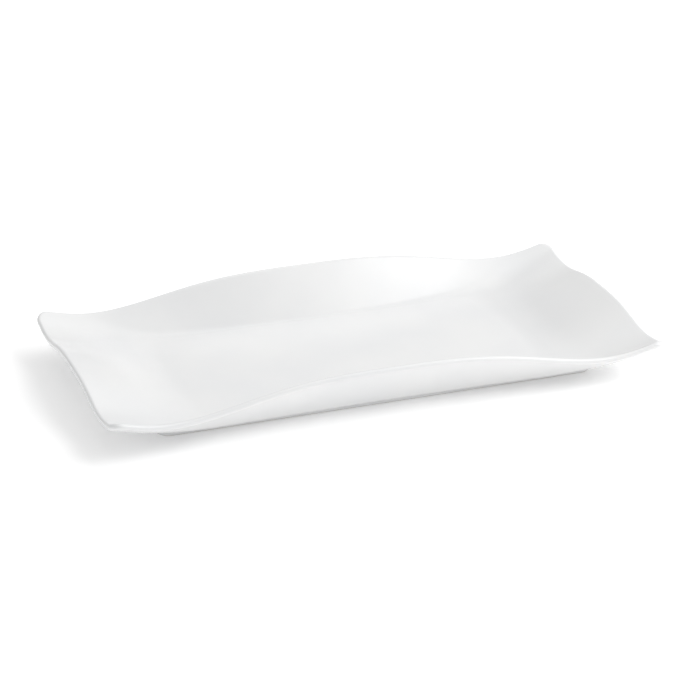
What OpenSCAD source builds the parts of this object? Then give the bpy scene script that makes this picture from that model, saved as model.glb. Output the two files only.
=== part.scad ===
// Oblong china serving platter: a glazed shell with a waved lip, on a low foot ring.
// Frame: origin under the centre on the table, X along the length, Y across, Z up. Millimetres.
// The shell is drawn round a mid surface, half the shell thickness to each side of it.

/* [Overall] */
// Length over the lip at the two ends
overall_len = 364; // [240:2:480]
// Width over the lip at the two ends
overall_w = 185.6; // [120:0.2:240]
// Thickness of the shell, also the diameter of the rounded lip
shell_t = 3.8; // [3:0.2:6]

/* [Lip wave] */
// Top of the lip above the table at the middle of each long side
side_crest_h = 36; // [28:0.2:50]
// Top of the lip above the table at the middle of each end
end_crest_h = 27.8; // [24:0.2:44]
// Top of the lip above the table at the low points beside each corner
dip_h = 21.2; // [16:0.2:24]
// Top of the lip above the table at the four corners
corner_h = 28; // [24:0.2:44]
// Low points of a long side, as a share of the way from mid length to the corner
side_dip_at = 0.79; // [0.6:0.01:0.9]
// Low points of an end, as a share of the way from mid width to the corner
end_dip_at = 0.68; // [0.6:0.01:0.9]
// How broad the crests are, one is a plain cosine
crest_breadth = 1.55; // [1:0.05:2.2]
// How far the long sides draw in at mid length
side_waist = 2.2; // [0:0.1:6]
// Corner radius of the lip seen from above, on its centre line
lip_corner_r = 6.5; // [2:0.5:15]

/* [Well] */
// How far in from the lip the long walls start to rise, at mid length
side_run = 22.2; // [14:0.1:30]
// How far in from the lip the long walls start to rise, at the ends
side_run_end = 15.5; // [8:0.5:20]
// How far in from the lip the swept ends start to rise
end_run = 53.5; // [30:0.5:70]
// Height over which the floor rounds up into the long walls at mid length
side_soft = 2.5; // [1:0.5:6]
// Height over which the floor rounds up into the swept ends
end_soft = 6; // [2:0.5:7]
// Height over which a long wall and an end blend in the valley between them
valley_soft = 8.5; // [2:0.5:12]

/* [Foot] */
// How far in from the lip the foot ring stands at the ends
foot_in_end = 37.4; // [20:0.2:60]
// How far in from the lip the foot ring stands along the sides
foot_in_side = 28.8; // [20:0.2:36]
// Wall thickness of the foot ring
foot_wall = 4; // [3:0.5:8]
// Corner radius of the foot ring
foot_corner_r = 9; // [6:0.5:14]
// Height of the underside of the well above the table
underside_h = 3; // [2:0.2:6]
// Height of the unglazed edge the platter stands on
bearing_h = 0.6; // [0.4:0.1:1.2]
// How far the unglazed edge is set in from both faces of the foot ring
bearing_inset = 0.5; // [0.2:0.1:1]
// Height of the rib under the shell that carries the foot ring
rib_h = 0.4; // [0.2:0.1:1]

/* [Hidden] */
half_t = shell_t / 2;
lip_x = overall_len / 2 - half_t;
lip_y = overall_w / 2 - half_t;
mid_floor = underside_h + half_t;
rib_z = underside_h - rib_h;
foot_len = overall_len - 2 * foot_in_end;
foot_w = overall_w - 2 * foot_in_side;
// half size of the part of the floor that is quite flat, and how far it lies inside the slopes
flat_in_end = 24;
flat_in_side = 7;
flat_x = lip_x - end_run - flat_in_end;
flat_y = lip_y - side_waist - side_run - flat_in_side;
flat_corner_r = 6;
glaze = [0.95, 0.95, 0.94];
bisque = [0.86, 0.84, 0.79];
// steps round one loop: along a long side, along an end, round a corner
side_steps = 34;
end_steps = 18;
corner_steps = 5;
// how strongly the steps crowd toward the corners
crowd = 0.5;
// loops on the upper face, round the lip, on the outer wall and under the well
well_loops = 18;
lip_loops = 6;
wall_loops = 12;
under_loops = 4;
// step for measuring the slope of the mid surface
slope_step = 0.4;
round_steps = 96;
quarter = 90;
half_turn = 180;

// Height of the lip centre line: crest at the middle, low point, rise to the corner.
function wave(t, crest, dip, corner, at) = let (s = abs(t))
    s < at
    ? (crest + dip) / 2 + (crest - dip) / 2 * cos(half_turn * pow(s / at, crest_breadth))
    : dip + (corner - dip) * pow((s - at) / (1 - at), 2);
function side_rise(x) = wave(x / lip_x, side_crest_h, dip_h, corner_h - valley_soft / 4, side_dip_at)
    - half_t - mid_floor;
function end_rise(y) = wave(y / lip_y, end_crest_h, dip_h, corner_h - valley_soft / 4, end_dip_at)
    - half_t - mid_floor;

// Plan lines: the lip, and how wide the slope of a long wall is.
function blend(a, b, s) = a + (b - a) * s;
function lip_at(x) = lip_y - side_waist * (1 - pow(x / lip_x, 2));
function side_run_at(x) = blend(side_run, side_run_end, pow(x / lip_x, 2));

// Mid surface: slopes that rise to the lip from each side and end, joined by a soft valley
// and rounded into the flat floor. Both slopes are below zero over the floor.
function side_slope(x, y) = side_rise(x) * (1 - (lip_at(x) - abs(y)) / side_run_at(x));
function end_slope(x, y) = end_rise(y) * (1 - (lip_x - abs(x)) / end_run);
function soft_max(a, b, k) = max(a, b) + pow(max(0, k - abs(a - b)), 2) / (4 * k);
function soft_at(x) = blend(side_soft, end_soft, min(1, pow(x / (lip_x - end_run), 4)));
function rise(h, k) = h < -k ? 0 : h < k ? pow(h + k, 2) / (4 * k) : h;
function mid_z(x, y) = mid_floor
    + rise(soft_max(side_slope(x, y), end_slope(x, y), valley_soft), soft_at(x));

// Slope and unit normal of the mid surface.
function slope_x(x, y) = (mid_z(x + slope_step, y) - mid_z(x - slope_step, y)) / (2 * slope_step);
function slope_y(x, y) = (mid_z(x, y + slope_step) - mid_z(x, y - slope_step)) / (2 * slope_step);
function unit(v) = v / norm(v);
function normal_at(x, y) = unit([-slope_x(x, y), -slope_y(x, y), 1]);
function under_z(x, y) = mid_z(x, y)
    - half_t * sqrt(1 + pow(slope_x(x, y), 2) + pow(slope_y(x, y), 2));

// One loop seen from above: a rounded rectangle, anticlockwise, drawn in along the long sides.
function crowded(t) = (1 - crowd) * t + crowd * sin(quarter * t);
function along(i, steps) = crowded(2 * i / steps - 1);
function arc(cx, cy, r, from) = [for (i = [0 : corner_steps - 1])
    let (a = from + quarter * i / corner_steps) [cx + r * cos(a), cy + r * sin(a)]];
function flat_loop(a, b, r) = concat(
    [for (i = [0 : side_steps - 1]) [along(i, side_steps) * (a - r), -b]],
    arc(a - r, -b + r, r, -quarter),
    [for (i = [0 : end_steps - 1]) [a, along(i, end_steps) * (b - r)]],
    arc(a - r, b - r, r, 0),
    [for (i = [0 : side_steps - 1]) [-along(i, side_steps) * (a - r), b]],
    arc(-a + r, b - r, r, quarter),
    [for (i = [0 : end_steps - 1]) [-a, -along(i, end_steps) * (b - r)]],
    arc(-a + r, -b + r, r, half_turn));
function waisted(loop, a, share) = [for (p = loop)
    [p[0], p[1] * (1 - share * side_waist / lip_y * (1 - pow(p[0] / a, 2)))]];
function well_plan(s) = waisted(flat_loop(blend(flat_x, lip_x, s), blend(flat_y, lip_y, s),
    blend(flat_corner_r, lip_corner_r, s)), blend(flat_x, lip_x, s), s);
function wall_plan(s) = waisted(flat_loop(blend(foot_len / 2, lip_x, s), blend(foot_w / 2, lip_y, s),
    blend(foot_corner_r, lip_corner_r, s)), blend(foot_len / 2, lip_x, s), s);
function under_plan(s) = flat_loop(blend(flat_x, foot_len / 2 - foot_wall, s),
    blend(foot_w / 2 - 2 * foot_wall, foot_w / 2 - foot_wall, s), foot_corner_r - foot_wall);

// Loops in space. Plus one is the upper face, minus one the outer face.
function shell_loop(plan, face) = [for (p = plan)
    let (n = normal_at(p[0], p[1])) [p[0], p[1], mid_z(p[0], p[1])] + face * half_t * n];
function under_loop(plan) = [for (p = plan) [p[0], p[1], under_z(p[0], p[1])]];
function level_loop(plan, z) = [for (p = plan) [p[0], p[1], z]];
function lip_loop(turn) = let (plan = well_plan(1), count = len(plan))
    [for (i = [0 : count - 1])
        let (p = plan[i],
            before = plan[(i + count - 1) % count],
            after = plan[(i + 1) % count],
            run = unit([after[0], after[1], mid_z(after[0], after[1])]
                - [before[0], before[1], mid_z(before[0], before[1])]),
            n = normal_at(p[0], p[1]),
            out = unit(cross(run, n)))
        [p[0], p[1], mid_z(p[0], p[1])] + half_t * (n * cos(turn) + out * sin(turn))];

loops = concat(
    [for (i = [0 : well_loops - 1]) shell_loop(well_plan(i / well_loops), 1)],
    [for (i = [0 : lip_loops]) lip_loop(half_turn * i / lip_loops)],
    [for (i = [1 : wall_loops - 1]) shell_loop(wall_plan(1 - i / wall_loops), -1)],
    [under_loop(wall_plan(0)),
        level_loop(wall_plan(0), rib_z),
        level_loop(under_plan(1), rib_z)],
    [for (i = [0 : under_loops]) under_loop(under_plan(1 - i / under_loops))]);

module closed_shell(loops) {
    count = len(loops[0]);
    last = len(loops) - 1;
    top = (last + 1) * count;
    points = concat([for (loop = loops) for (p = loop) p],
        [[0, 0, mid_floor + half_t], [0, 0, mid_floor - half_t]]);
    skin = [for (j = [0 : last - 1]) for (i = [0 : count - 1])
        let (a = j * count + i, b = j * count + (i + 1) % count, c = a + count, d = b + count)
        each [[a, c, b], [b, c, d]]];
    upper_cap = [for (i = [0 : count - 1]) [top, i, (i + 1) % count]];
    lower_cap = [for (i = [0 : count - 1]) [top + 1, last * count + (i + 1) % count, last * count + i]];
    polyhedron(points, concat(upper_cap, skin, lower_cap));
}

module rounded_slab(length, width, r, z0, z1) {
    translate([-length / 2 + r, -width / 2, z0])
        cube([length - 2 * r, width, z1 - z0]);
    translate([-length / 2, -width / 2 + r, z0])
        cube([length, width - 2 * r, z1 - z0]);
    for (sx = [-1, 1])
        for (sy = [-1, 1])
            translate([sx * (length / 2 - r), sy * (width / 2 - r), z0])
                cylinder(h = z1 - z0, r = r, $fn = round_steps);
}

module ring(inset, z0, z1) {
    inner = foot_wall - inset;
    difference() {
        rounded_slab(foot_len - 2 * inset, foot_w - 2 * inset, foot_corner_r - inset, z0, z1);
        rounded_slab(foot_len - 2 * inner, foot_w - 2 * inner, foot_corner_r - inner,
            z0 - bearing_h, z1 + bearing_h);
    }
}

// Glazed shell: well, long walls, swept ends, waved lip and the rib that carries the foot.
module platter_body() {
    color(glaze) closed_shell(loops);
}

// Glazed wall of the foot ring, under the rib.
module foot_ring() {
    color(glaze) ring(0, bearing_h, rib_z);
}

// Unglazed edge that the platter stands on.
module foot_bearing_edge() {
    color(bisque) ring(bearing_inset, 0, bearing_h);
}

platter_body();
foot_ring();
foot_bearing_edge();
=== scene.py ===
"""Looks of an oblong porcelain platter: glazed shell, foot wall and bare standing edge."""

import math

import bpy
import numpy as np
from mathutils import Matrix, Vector


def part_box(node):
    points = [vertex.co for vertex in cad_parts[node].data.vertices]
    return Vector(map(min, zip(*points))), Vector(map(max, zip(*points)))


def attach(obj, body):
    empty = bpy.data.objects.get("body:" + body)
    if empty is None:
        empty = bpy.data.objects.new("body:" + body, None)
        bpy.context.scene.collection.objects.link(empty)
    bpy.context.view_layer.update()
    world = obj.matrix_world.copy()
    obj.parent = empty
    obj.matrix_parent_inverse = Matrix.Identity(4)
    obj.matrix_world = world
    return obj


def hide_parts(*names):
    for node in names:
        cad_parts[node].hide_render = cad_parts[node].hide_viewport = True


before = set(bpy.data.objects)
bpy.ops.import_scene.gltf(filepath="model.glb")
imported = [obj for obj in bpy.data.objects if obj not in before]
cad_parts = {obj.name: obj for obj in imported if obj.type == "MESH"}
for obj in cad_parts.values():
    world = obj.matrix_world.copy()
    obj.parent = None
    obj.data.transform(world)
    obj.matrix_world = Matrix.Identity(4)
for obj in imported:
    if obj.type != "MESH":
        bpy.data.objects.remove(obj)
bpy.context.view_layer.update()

# ---------------------------------------------------------------- sizes, in metres
SHELL_T = 0.0038        # thickness of the shell, and diameter of the rounded lip
END_CREST = 0.0278      # top of the lip at the middle of an end
DIP = 0.0212            # top of the lip at the low points beside each corner
CORNER = 0.028          # top of the lip at the corners
SIDE_DIP_AT = 0.79      # low points of a long side, share of the way to the corner
END_DIP_AT = 0.68       # low points of an end, share of the way to the corner
CREST_BREADTH = 1.55    # how broad the crests are, one is a plain cosine
SIDE_WAIST = 0.0022     # how far the long sides draw in at mid length
LIP_CORNER_R = 0.0065   # corner radius of the lip's centre line, seen from above
SIDE_RUN = 0.0222       # how far in from the lip the long walls start to rise, at mid length
SIDE_RUN_END = 0.0155   # the same at the ends
END_RUN = 0.0535        # how far in from the lip the swept ends start to rise
SIDE_SOFT = 0.0025      # height over which the floor rounds up into the long walls at mid length
END_SOFT = 0.006        # height over which the floor rounds up into the swept ends
VALLEY_SOFT = 0.0085    # height over which a long wall and an end blend in their valley
UNDERSIDE = 0.003       # height of the underside of the well
RIB = 0.0004            # height of the rib under the shell that carries the foot
FOOT_WALL = 0.004       # wall thickness of the foot ring
FOOT_CORNER_R = 0.009   # corner radius of the foot ring
FLAT_IN_END = 0.024     # how far the quite flat part of the floor lies inside the ends' slopes
FLAT_IN_SIDE = 0.007    # the same for the long walls' slopes
FLAT_CORNER_R = 0.006   # corner radius of that flat part
FOOT_TOP_ROUND = 0.00005     # edge radius where one foot piece meets what is above it
FOOT_LOW_ROUND = 0.0005      # edge radius at the bottom of the foot wall
EDGE_LOW_ROUND = 0.00025     # edge radius at the bottom of the standing edge
SLOPE_STEP = 0.0004     # step for measuring slopes

body_low, body_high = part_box("platter_body")
ring_low, ring_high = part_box("foot_ring")
edge_low, edge_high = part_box("foot_bearing_edge")
HALF_T = SHELL_T / 2
LIP_X = body_high.x - HALF_T
LIP_Y = body_high.y - HALF_T
SIDE_CREST = body_high.z  # top of the lip at the middle of a long side
MID_FLOOR = UNDERSIDE + HALF_T
RIB_Z = UNDERSIDE - RIB
FOOT_X = ring_high.x
FOOT_Y = ring_high.y
FLAT_X = LIP_X - END_RUN - FLAT_IN_END
FLAT_Y = LIP_Y - SIDE_WAIST - SIDE_RUN - FLAT_IN_SIDE

# mesh density: steps along a long side, an end and a corner, and loops across each face
SIDE_STEPS = 130
END_STEPS = 70
CORNER_STEPS = 12
WELL_LOOPS = 56
LIP_LOOPS = 14
WALL_LOOPS = 36
UNDER_LOOPS = 12
FLAT_LOOPS = 14
FLAT_SLOT = 0.15    # width of the innermost loop of a flat middle, in steps between its loops
EDGE_STEPS = 6      # steps round each edge of a foot piece
CROWD = 0.5         # how strongly the steps crowd toward the corners


# ---------------------------------------------------------------- the platter's surface
def blend(a, b, share):
    return a + (b - a) * share


def wave(t, crest, dip, corner, at):
    """Height of the lip: crest at the middle, low point, rise to the corner."""
    share = np.abs(t)
    turn = np.pi * np.minimum(share / at, 1) ** CREST_BREADTH
    swell = (crest + dip) / 2 + (crest - dip) / 2 * np.cos(turn)
    horn = dip + (corner - dip) * (np.maximum(share - at, 0) / (1 - at)) ** 2
    return np.where(share < at, swell, horn)


def side_rise(x):
    return wave(x / LIP_X, SIDE_CREST, DIP, CORNER - VALLEY_SOFT / 4, SIDE_DIP_AT) - HALF_T - MID_FLOOR


def end_rise(y):
    return wave(y / LIP_Y, END_CREST, DIP, CORNER - VALLEY_SOFT / 4, END_DIP_AT) - HALF_T - MID_FLOOR


def lip_at(x):
    return LIP_Y - SIDE_WAIST * (1 - (x / LIP_X) ** 2)


def side_slope(x, y):
    """Slope of a long wall, below zero over the floor."""
    run = blend(SIDE_RUN, SIDE_RUN_END, (x / LIP_X) ** 2)
    return side_rise(x) * (1 - (lip_at(x) - np.abs(y)) / run)


def end_slope(x, y):
    """Slope of a swept end, below zero over the floor."""
    return end_rise(y) * (1 - (LIP_X - np.abs(x)) / END_RUN)


def soft_max(a, b, k):
    return np.maximum(a, b) + np.maximum(0, k - np.abs(a - b)) ** 2 / (4 * k)


def rise(h, k):
    """Zero for the floor, h well above it, and a round between them."""
    return np.where(h < -k, 0, np.where(h < k, (h + k) ** 2 / (4 * k), h))


def mid_z(x, y):
    """The shell's mid surface: walls and ends joined by soft valleys and rounded into the floor."""
    soft = blend(SIDE_SOFT, END_SOFT, np.minimum(1, (x / (LIP_X - END_RUN)) ** 4))
    return MID_FLOOR + rise(soft_max(side_slope(x, y), end_slope(x, y), VALLEY_SOFT), soft)


def slopes(x, y):
    along = (mid_z(x + SLOPE_STEP, y) - mid_z(x - SLOPE_STEP, y)) / (2 * SLOPE_STEP)
    across = (mid_z(x, y + SLOPE_STEP) - mid_z(x, y - SLOPE_STEP)) / (2 * SLOPE_STEP)
    return along, across


def unit(v):
    return v / np.linalg.norm(v, axis=-1, keepdims=True)


def normals(plan):
    along, across = slopes(plan[:, 0], plan[:, 1])
    return unit(np.stack([-along, -across, np.ones_like(along)], -1))


# ---------------------------------------------------------------- loops seen from above
def crowded(steps):
    t = 2 * np.arange(steps) / steps - 1
    return (1 - CROWD) * t + CROWD * np.sin(np.pi / 2 * t)


def flat_loop(a, b, r):
    """A rounded rectangle of half sizes a and b, anticlockwise from the front left."""
    side, end = crowded(SIDE_STEPS), crowded(END_STEPS)
    turn = np.pi / 2 * np.arange(CORNER_STEPS) / CORNER_STEPS
    parts = []
    for quarter, (cx, cy) in enumerate([(1, -1), (1, 1), (-1, 1), (-1, -1)]):
        run = (side * (a - r), np.full(SIDE_STEPS, -b))
        if quarter % 2:
            run = (np.full(END_STEPS, a), end * (b - r))
        if quarter >= 2:
            run = (-run[0], -run[1])
        angle = turn + np.pi / 2 * (quarter - 1)
        arc = (cx * (a - r) + r * np.cos(angle), cy * (b - r) + r * np.sin(angle))
        parts += [np.stack(run, -1), np.stack(arc, -1)]
    return np.vstack(parts)


def waisted(loop, a, share):
    pull = share * SIDE_WAIST / LIP_Y * (1 - (loop[:, 0] / a) ** 2)
    return np.stack([loop[:, 0], loop[:, 1] * (1 - pull)], -1)


def well_plan(s):
    a, b = blend(FLAT_X, LIP_X, s), blend(FLAT_Y, LIP_Y, s)
    return waisted(flat_loop(a, b, blend(FLAT_CORNER_R, LIP_CORNER_R, s)), a, s)


def wall_plan(s):
    a, b = blend(FOOT_X, LIP_X, s), blend(FOOT_Y, LIP_Y, s)
    return waisted(flat_loop(a, b, blend(FOOT_CORNER_R, LIP_CORNER_R, s)), a, s)


def under_plan(s):
    a = blend(FLAT_X, FOOT_X - FOOT_WALL, s)
    b = blend(FOOT_Y - 2 * FOOT_WALL, FOOT_Y - FOOT_WALL, s)
    return flat_loop(a, b, FOOT_CORNER_R - FOOT_WALL)


# ---------------------------------------------------------------- loops in space
def on_mid(plan):
    return np.column_stack([plan, mid_z(plan[:, 0], plan[:, 1])])


def shell_loop(plan, face):
    """Plus one is the upper face, minus one the outer face."""
    return on_mid(plan) + face * HALF_T * normals(plan)


def under_loop(plan):
    along, across = slopes(plan[:, 0], plan[:, 1])
    drop = HALF_T * np.sqrt(1 + along ** 2 + across ** 2)
    return np.column_stack([plan, mid_z(plan[:, 0], plan[:, 1]) - drop])


def flat_centre(plan):
    """Loops for a flat middle, from a narrow slot out to just inside the outline."""
    half_x, half_y = plan[:, 0].max(), plan[:, 1].max()
    loops = []
    for i in range(FLAT_LOOPS):
        pull = half_y * (1 - (i + FLAT_SLOT) / FLAT_LOOPS)
        loops.append(plan * [(half_x - pull) / half_x, (half_y - pull) / half_y])
    return loops


def level_loop(plan, z):
    return np.column_stack([plan, np.full(len(plan), z)])


def lip_loop(turn):
    """One line along the rounded lip, turned from the upper face round to the outer one."""
    centre = on_mid(well_plan(1))
    n = normals(centre[:, :2])
    run = np.roll(centre, -1, axis=0) - np.roll(centre, 1, axis=0)
    out = unit(np.cross(unit(run), n))
    return centre + HALF_T * (n * math.cos(turn) + out * math.sin(turn))


def mesh_from_loops(name, loops, caps):
    """Joins equal loops into a skin. caps closes both ends, else the last loop joins the first."""
    count = len(loops[0])
    points = np.vstack(loops)
    last = len(loops) - 1
    pairs = [(j, j + 1) for j in range(last)]
    if not caps:
        pairs.append((last, 0))
    faces = []
    for j, k in pairs:
        for i in range(count):
            n = (i + 1) % count
            faces.append((j * count + i, k * count + i, k * count + n, j * count + n))
    if caps:
        faces.append(tuple(range(count)))
        faces.append(tuple(last * count + i for i in reversed(range(count))))
    mesh = bpy.data.meshes.new(name)
    mesh.from_pydata([tuple(p) for p in points], [], faces)
    mesh.validate()
    mesh.polygons.foreach_set("use_smooth", [True] * len(mesh.polygons))
    piece = bpy.data.objects.new(name, mesh)
    bpy.context.scene.collection.objects.link(piece)
    return piece


# ---------------------------------------------------------------- pieces
def build_shell():
    """Well, long walls, swept ends, waved lip, outer wall, rib and recessed underside."""
    loops = [level_loop(plan, MID_FLOOR + HALF_T) for plan in flat_centre(well_plan(0))]
    loops += [shell_loop(well_plan(i / WELL_LOOPS), 1) for i in range(WELL_LOOPS)]
    loops += [lip_loop(math.pi * i / LIP_LOOPS) for i in range(LIP_LOOPS + 1)]
    loops += [shell_loop(wall_plan(1 - i / WALL_LOOPS), -1) for i in range(1, WALL_LOOPS)]
    loops += [under_loop(wall_plan(0))]
    loops += [level_loop(wall_plan(0), RIB_Z), level_loop(under_plan(1), RIB_Z)]
    loops += [under_loop(under_plan(1 - i / UNDER_LOOPS)) for i in range(UNDER_LOOPS + 1)]
    loops += [level_loop(plan, UNDERSIDE) for plan in reversed(flat_centre(under_plan(0)))]
    return mesh_from_loops("glazed_shell", loops, caps=True)


def build_ring(name, outline, wall, corner_r, low, high, round_low, round_high):
    """A ring with a rectangular wall whose lower and upper edges are rounded."""
    profile = []
    quarters = [(1, -90, round_low, low + round_low), (1, 0, round_high, high - round_high),
                (-1, 90, round_high, high - round_high), (-1, 180, round_low, low + round_low)]
    for side, start, r, z in quarters:
        for i in range(EDGE_STEPS + 1):
            angle = math.radians(start + 90 * i / EDGE_STEPS)
            profile.append((side * (wall / 2 - r) + r * math.cos(angle), z + r * math.sin(angle)))
    loops = []
    for offset, z in profile:
        inset = wall / 2 - offset
        loops.append(level_loop(flat_loop(outline[0] - inset, outline[1] - inset, corner_r - inset), z))
    return mesh_from_loops(name, loops[::-1], caps=False)


# ---------------------------------------------------------------- materials
def new_material(name):
    material = bpy.data.materials.new(name)
    material.use_nodes = True
    tree = material.node_tree
    return material, tree, tree.nodes["Principled BSDF"]


def noise(tree, scale, detail, roughness):
    node = tree.nodes.new("ShaderNodeTexNoise")
    node.inputs["Scale"].default_value = scale
    node.inputs["Detail"].default_value = detail
    node.inputs["Roughness"].default_value = roughness
    coords = tree.nodes.new("ShaderNodeTexCoord")
    tree.links.new(coords.outputs["Object"], node.inputs["Vector"])
    return node


def ramp_between(tree, source, low, high, start, end):
    node = tree.nodes.new("ShaderNodeValToRGB")
    node.color_ramp.elements[0].position = start
    node.color_ramp.elements[0].color = (*low, 1)
    node.color_ramp.elements[1].position = end
    node.color_ramp.elements[1].color = (*high, 1)
    tree.links.new(source, node.inputs["Fac"])
    return node


def bump(tree, shader, source, strength, distance, after=None):
    node = tree.nodes.new("ShaderNodeBump")
    node.inputs["Strength"].default_value = strength
    node.inputs["Distance"].default_value = distance
    tree.links.new(source, node.inputs["Height"])
    if after:
        tree.links.new(after.outputs["Normal"], node.inputs["Normal"])
    tree.links.new(node.outputs["Normal"], shader.inputs["Normal"])
    return node


def glazed_porcelain():
    """White porcelain under a clear glaze that lies in very slow, shallow waves."""
    material, tree, shader = new_material("glazed_porcelain")
    tone = noise(tree, 18, 3, 0.5)
    cool, plain = (0.80, 0.805, 0.81), (0.83, 0.832, 0.83)
    colour = ramp_between(tree, tone.outputs["Fac"], cool, plain, 0.35, 0.65)
    tree.links.new(colour.outputs["Color"], shader.inputs["Base Color"])
    shader.inputs["Roughness"].default_value = 0.38
    shader.inputs["IOR"].default_value = 1.5
    shader.inputs["Coat Weight"].default_value = 0.9
    shader.inputs["Coat Roughness"].default_value = 0.2
    shader.inputs["Coat IOR"].default_value = 1.5
    swell = noise(tree, 22, 2, 0.4)
    peel = noise(tree, 260, 2, 0.5)
    slow = bump(tree, shader, swell.outputs["Fac"], 0.25, 0.0006)
    bump(tree, shader, peel.outputs["Fac"], 0.08, 0.00006, after=slow)
    return material


def bare_porcelain():
    """Unglazed, ground porcelain: matt, slightly warm, with a fine grain."""
    material, tree, shader = new_material("bare_porcelain")
    tone = noise(tree, 900, 4, 0.6)
    warm, pale = (0.70, 0.69, 0.665), (0.79, 0.78, 0.76)
    colour = ramp_between(tree, tone.outputs["Fac"], warm, pale, 0.3, 0.7)
    tree.links.new(colour.outputs["Color"], shader.inputs["Base Color"])
    shader.inputs["Roughness"].default_value = 0.85
    grain = noise(tree, 2200, 3, 0.7)
    bump(tree, shader, grain.outputs["Fac"], 0.5, 0.0001)
    return material


def floor_white():
    material, tree, shader = new_material("floor_white")
    shader.inputs["Base Color"].default_value = (0.93, 0.93, 0.93, 1)
    shader.inputs["Roughness"].default_value = 0.9
    shader.inputs["Specular IOR Level"].default_value = 0.1
    shader.inputs["Emission Color"].default_value = (1, 1, 1, 1)
    shader.inputs["Emission Strength"].default_value = 0.19
    return material


def finish_piece(piece, node, material):
    piece.data.materials.append(material)
    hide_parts(node)
    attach(piece, "root")


glaze = glazed_porcelain()
bare = bare_porcelain()
finish_piece(build_shell(), "platter_body", glaze)
foot = build_ring("foot_wall", (ring_high.x, ring_high.y), FOOT_WALL, FOOT_CORNER_R,
                  ring_low.z, ring_high.z, FOOT_LOW_ROUND, FOOT_TOP_ROUND)
finish_piece(foot, "foot_ring", glaze)
inset = ring_high.x - edge_high.x
edge = build_ring("standing_edge", (edge_high.x, edge_high.y), FOOT_WALL - 2 * inset,
                  FOOT_CORNER_R - inset, edge_low.z, edge_high.z, EDGE_LOW_ROUND, FOOT_TOP_ROUND)
finish_piece(edge, "foot_bearing_edge", bare)


# ---------------------------------------------------------------- floor, light and camera
def build_floor(half):
    mesh = bpy.data.meshes.new("studio_floor")
    corners = [(-half, -half, 0), (half, -half, 0), (half, half, 0), (-half, half, 0)]
    mesh.from_pydata(corners, [], [(0, 1, 2, 3)])
    floor = bpy.data.objects.new("studio_floor", mesh)
    bpy.context.scene.collection.objects.link(floor)
    floor.data.materials.append(floor_white())


def direction(azimuth, elevation):
    """Unit vector from the platter toward a place. Azimuth 0 is in front, 90 is to the right."""
    a, e = math.radians(azimuth), math.radians(elevation)
    return Vector((math.sin(a) * math.cos(e), -math.cos(a) * math.cos(e), math.sin(e)))


def softbox(name, azimuth, elevation, distance, width, height, power, glossy=True):
    """A large soft lamp that faces the platter. glossy=False keeps it out of the glaze's reflections."""
    light = bpy.data.lights.new(name, "AREA")
    light.shape = "RECTANGLE"
    light.size = width
    light.size_y = height
    light.energy = power
    lamp = bpy.data.objects.new(name, light)
    toward = direction(azimuth, elevation)
    lamp.location = toward * distance
    lamp.rotation_euler = toward.to_track_quat("Z", "Y").to_euler()
    lamp.visible_glossy = glossy
    bpy.context.scene.collection.objects.link(lamp)


def build_world(strength):
    world = bpy.data.worlds.new("studio")
    world.use_nodes = True
    background = world.node_tree.nodes["Background"]
    background.inputs["Color"].default_value = (1, 1, 1, 1)
    background.inputs["Strength"].default_value = strength
    bpy.context.scene.world = world


def build_camera(azimuth, elevation, distance, lens, aim):
    data = bpy.data.cameras.new("camera")
    data.lens = lens
    data.sensor_width = 36
    camera = bpy.data.objects.new("camera", data)
    toward = direction(azimuth, elevation)
    camera.location = Vector(aim) + toward * distance
    camera.rotation_euler = toward.to_track_quat("Z", "Y").to_euler()
    bpy.context.scene.collection.objects.link(camera)
    bpy.context.scene.camera = camera


build_floor(half=4)
build_world(0.57)
softbox("key", azimuth=54, elevation=43, distance=2.4, width=1.4, height=0.9, power=13)
softbox("rim", azimuth=98, elevation=43, distance=2.4, width=2.8, height=2.2, power=35, glossy=False)
softbox("overhead", azimuth=0, elevation=85, distance=2.4, width=2.0, height=2.0, power=6)
build_camera(azimuth=-20.07, elevation=23.76, distance=1.737, lens=138.9, aim=(0.003, 0.0029, 0.0086))
bpy.context.scene.view_settings.view_transform = "Standard"
